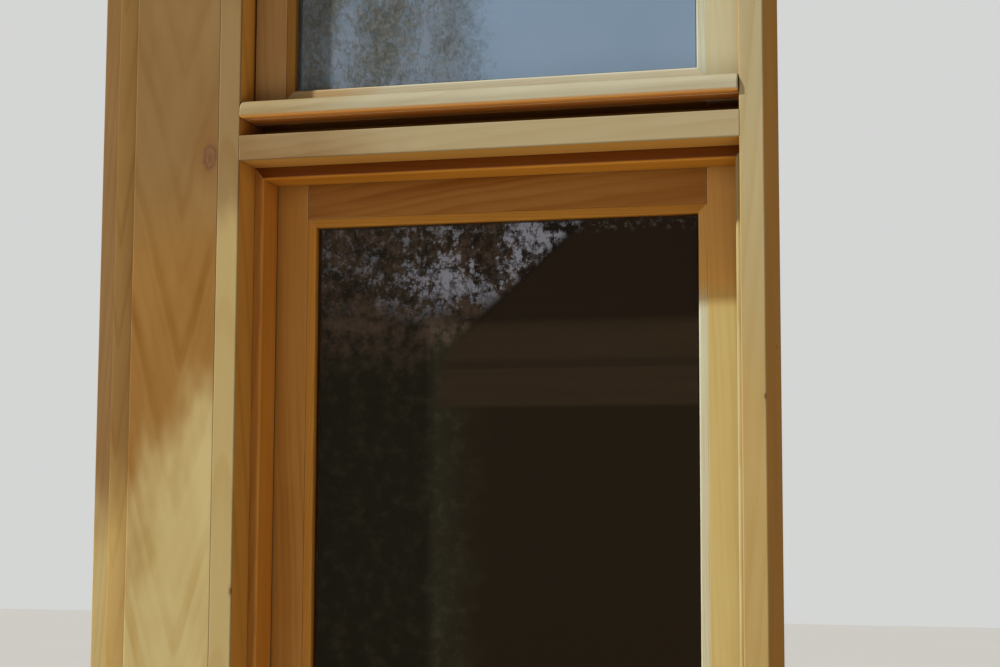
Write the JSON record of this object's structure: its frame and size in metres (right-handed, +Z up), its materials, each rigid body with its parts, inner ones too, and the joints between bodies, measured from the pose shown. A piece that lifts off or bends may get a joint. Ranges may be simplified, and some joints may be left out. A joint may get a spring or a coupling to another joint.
{
  "type": "sash window",
  "caption": "Varnished wooden window unit: a deep-set lower sash that slides up on spiral balances, and a top-hung upper light with a rounded drip nose, in a frame with side casing.",
  "frame": {"origin": "on the sill's underside, in the middle of the clear opening, in the plane of the frame's face", "axes": "+X to the right along the wall seen from outside, +Y into the wall towards the room, +Z up"},
  "size_m": [0.906, 0.217, 1.5],
  "materials": {
    "pine_frame": "clear varnish",
    "pine_casing": "clear varnish",
    "pine_stop": "clear varnish",
    "pine_sash": "clear varnish",
    "pine_bead": "clear varnish",
    "pane_glass": "polished",
    "spacer_metal": "satin",
    "seal_black": "matt",
    "screen_metal": "satin brown",
    "screen_gauze": "fine woven grey",
    "balance_tube_metal": "satin white",
    "balance_rod_metal": "bright zinc",
    "hinge_metal": "satin",
    "fitting_brass": "satin"
  },
  "bodies": {
    "frame": {"sill": "pine_frame", "post_left": "pine_frame", "post_right": "pine_frame", "head": "pine_frame", "transom": "pine_frame", "casing_board": "pine_casing", "casing_inner_strip": "pine_casing", "casing_outer_strip": "pine_casing", "stop_left": "pine_stop", "stop_right": "pine_stop", "stop_top": "pine_stop", "vent_stop_left": "pine_stop", "vent_stop_right": "pine_stop", "vent_stop_top": "pine_stop", "staff_bead_left": "pine_stop", "staff_bead_right": "pine_stop", "staff_bead_top": "pine_stop", "staff_bead_bottom": "pine_stop", "weather_pile": "seal_black", "vent_gasket": "seal_black", "screen_frame": "screen_metal", "screen_mesh": "screen_gauze", "balance_tube_left": "balance_tube_metal", "balance_tube_right": "balance_tube_metal", "hinge_frame_leaf_left": "hinge_metal", "hinge_frame_leaf_right": "hinge_metal", "lock_keeper": "fitting_brass"},
    "lower_sash": {"lower_stile_left": "pine_sash", "lower_stile_right": "pine_sash", "lower_bottom_rail": "pine_sash", "lower_top_rail": "pine_sash", "lower_bead_left": "pine_bead", "lower_bead_right": "pine_bead", "lower_bead_top": "pine_bead", "lower_bead_bottom": "pine_bead", "lower_pane_outer": "pane_glass", "lower_pane_inner": "pane_glass", "lower_spacer": "spacer_metal", "balance_rod_left": "balance_rod_metal", "balance_rod_right": "balance_rod_metal", "sash_lift_left": "fitting_brass", "sash_lift_right": "fitting_brass", "lock_plate": "fitting_brass"},
    "lock_lever": {"lock_lever": "fitting_brass"},
    "upper_sash": {"upper_stile_left": "pine_sash", "upper_stile_right": "pine_sash", "upper_bottom_rail": "pine_sash", "upper_top_rail": "pine_sash", "upper_bead_left": "pine_bead", "upper_bead_right": "pine_bead", "upper_bead_top": "pine_bead", "upper_bead_bottom": "pine_bead", "upper_pane_outer": "pane_glass", "upper_pane_inner": "pane_glass", "upper_spacer": "spacer_metal", "drip_nose": "pine_sash", "hinge_sash_leaf_left": "hinge_metal", "hinge_sash_leaf_right": "hinge_metal", "vent_bolt_housing": "fitting_brass"},
    "vent_bolt": {"vent_bolt": "fitting_brass"}
  },
  "joints": [
    {"name": "lower_sash_slide", "type": "slide", "parent": "frame", "child": "lower_sash", "axis": [0, 0, 1], "range_m": [0, 0.43]},
    {"name": "lock_turn", "type": "hinge", "parent": "lower_sash", "child": "lock_lever", "pos_m": [0, 0.1563, 0.1], "axis": [0, -1, 0], "range_deg": [0, 90]},
    {"name": "vent_hinge", "type": "hinge", "parent": "frame", "child": "upper_sash", "pos_m": [0, 0.0411, 1.4661], "axis": [-1, 0, 0], "range_deg": [0, 35]},
    {"name": "vent_bolt_slide", "type": "slide", "parent": "upper_sash", "child": "vent_bolt", "axis": [0, 0, 1], "range_m": [-0.01, 0]}
  ]
}
